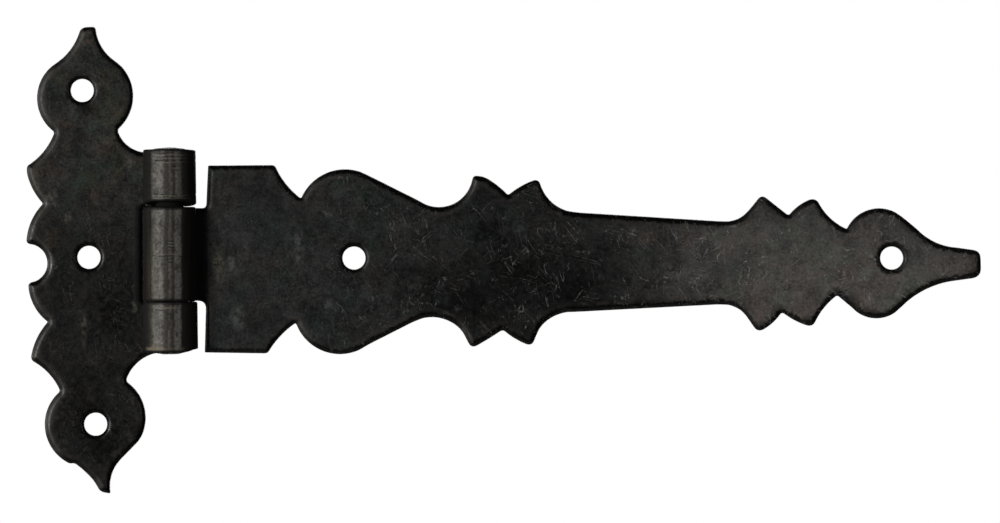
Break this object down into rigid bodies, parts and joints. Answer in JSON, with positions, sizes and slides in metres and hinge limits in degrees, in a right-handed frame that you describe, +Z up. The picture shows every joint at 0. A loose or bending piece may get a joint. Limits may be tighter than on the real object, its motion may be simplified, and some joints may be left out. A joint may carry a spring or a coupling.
{
  "type": "door hinge",
  "caption": "Ornamental black iron T hinge with a scalloped jamb leaf, a long strap leaf, rolled knuckles and a peened pin.",
  "frame": {"origin": "in the plane of the leaves' flat backs, straight behind the pin's axis, at the height of the strap's two screw holes", "axes": "+X out along the strap leaf, +Y back into the door and the post, so the knuckles stand proud towards -Y, and +Z up along the pin"},
  "size_m": [0.2001, 0.011, 0.0978],
  "materials": {
    "jamb_iron": "satin",
    "strap_iron": "satin",
    "pin_steel": "satin"
  },
  "bodies": {
    "jamb": {"jamb_leaf": "jamb_iron", "hinge_pin": "pin_steel"},
    "strap": {"strap_leaf": "strap_iron"}
  },
  "joints": [
    {"name": "strap_swing", "type": "hinge", "parent": "jamb", "child": "strap", "pos_m": [0, -0.0055, 0], "axis": [0, 0, -1], "range_deg": [-90, 190]}
  ]
}
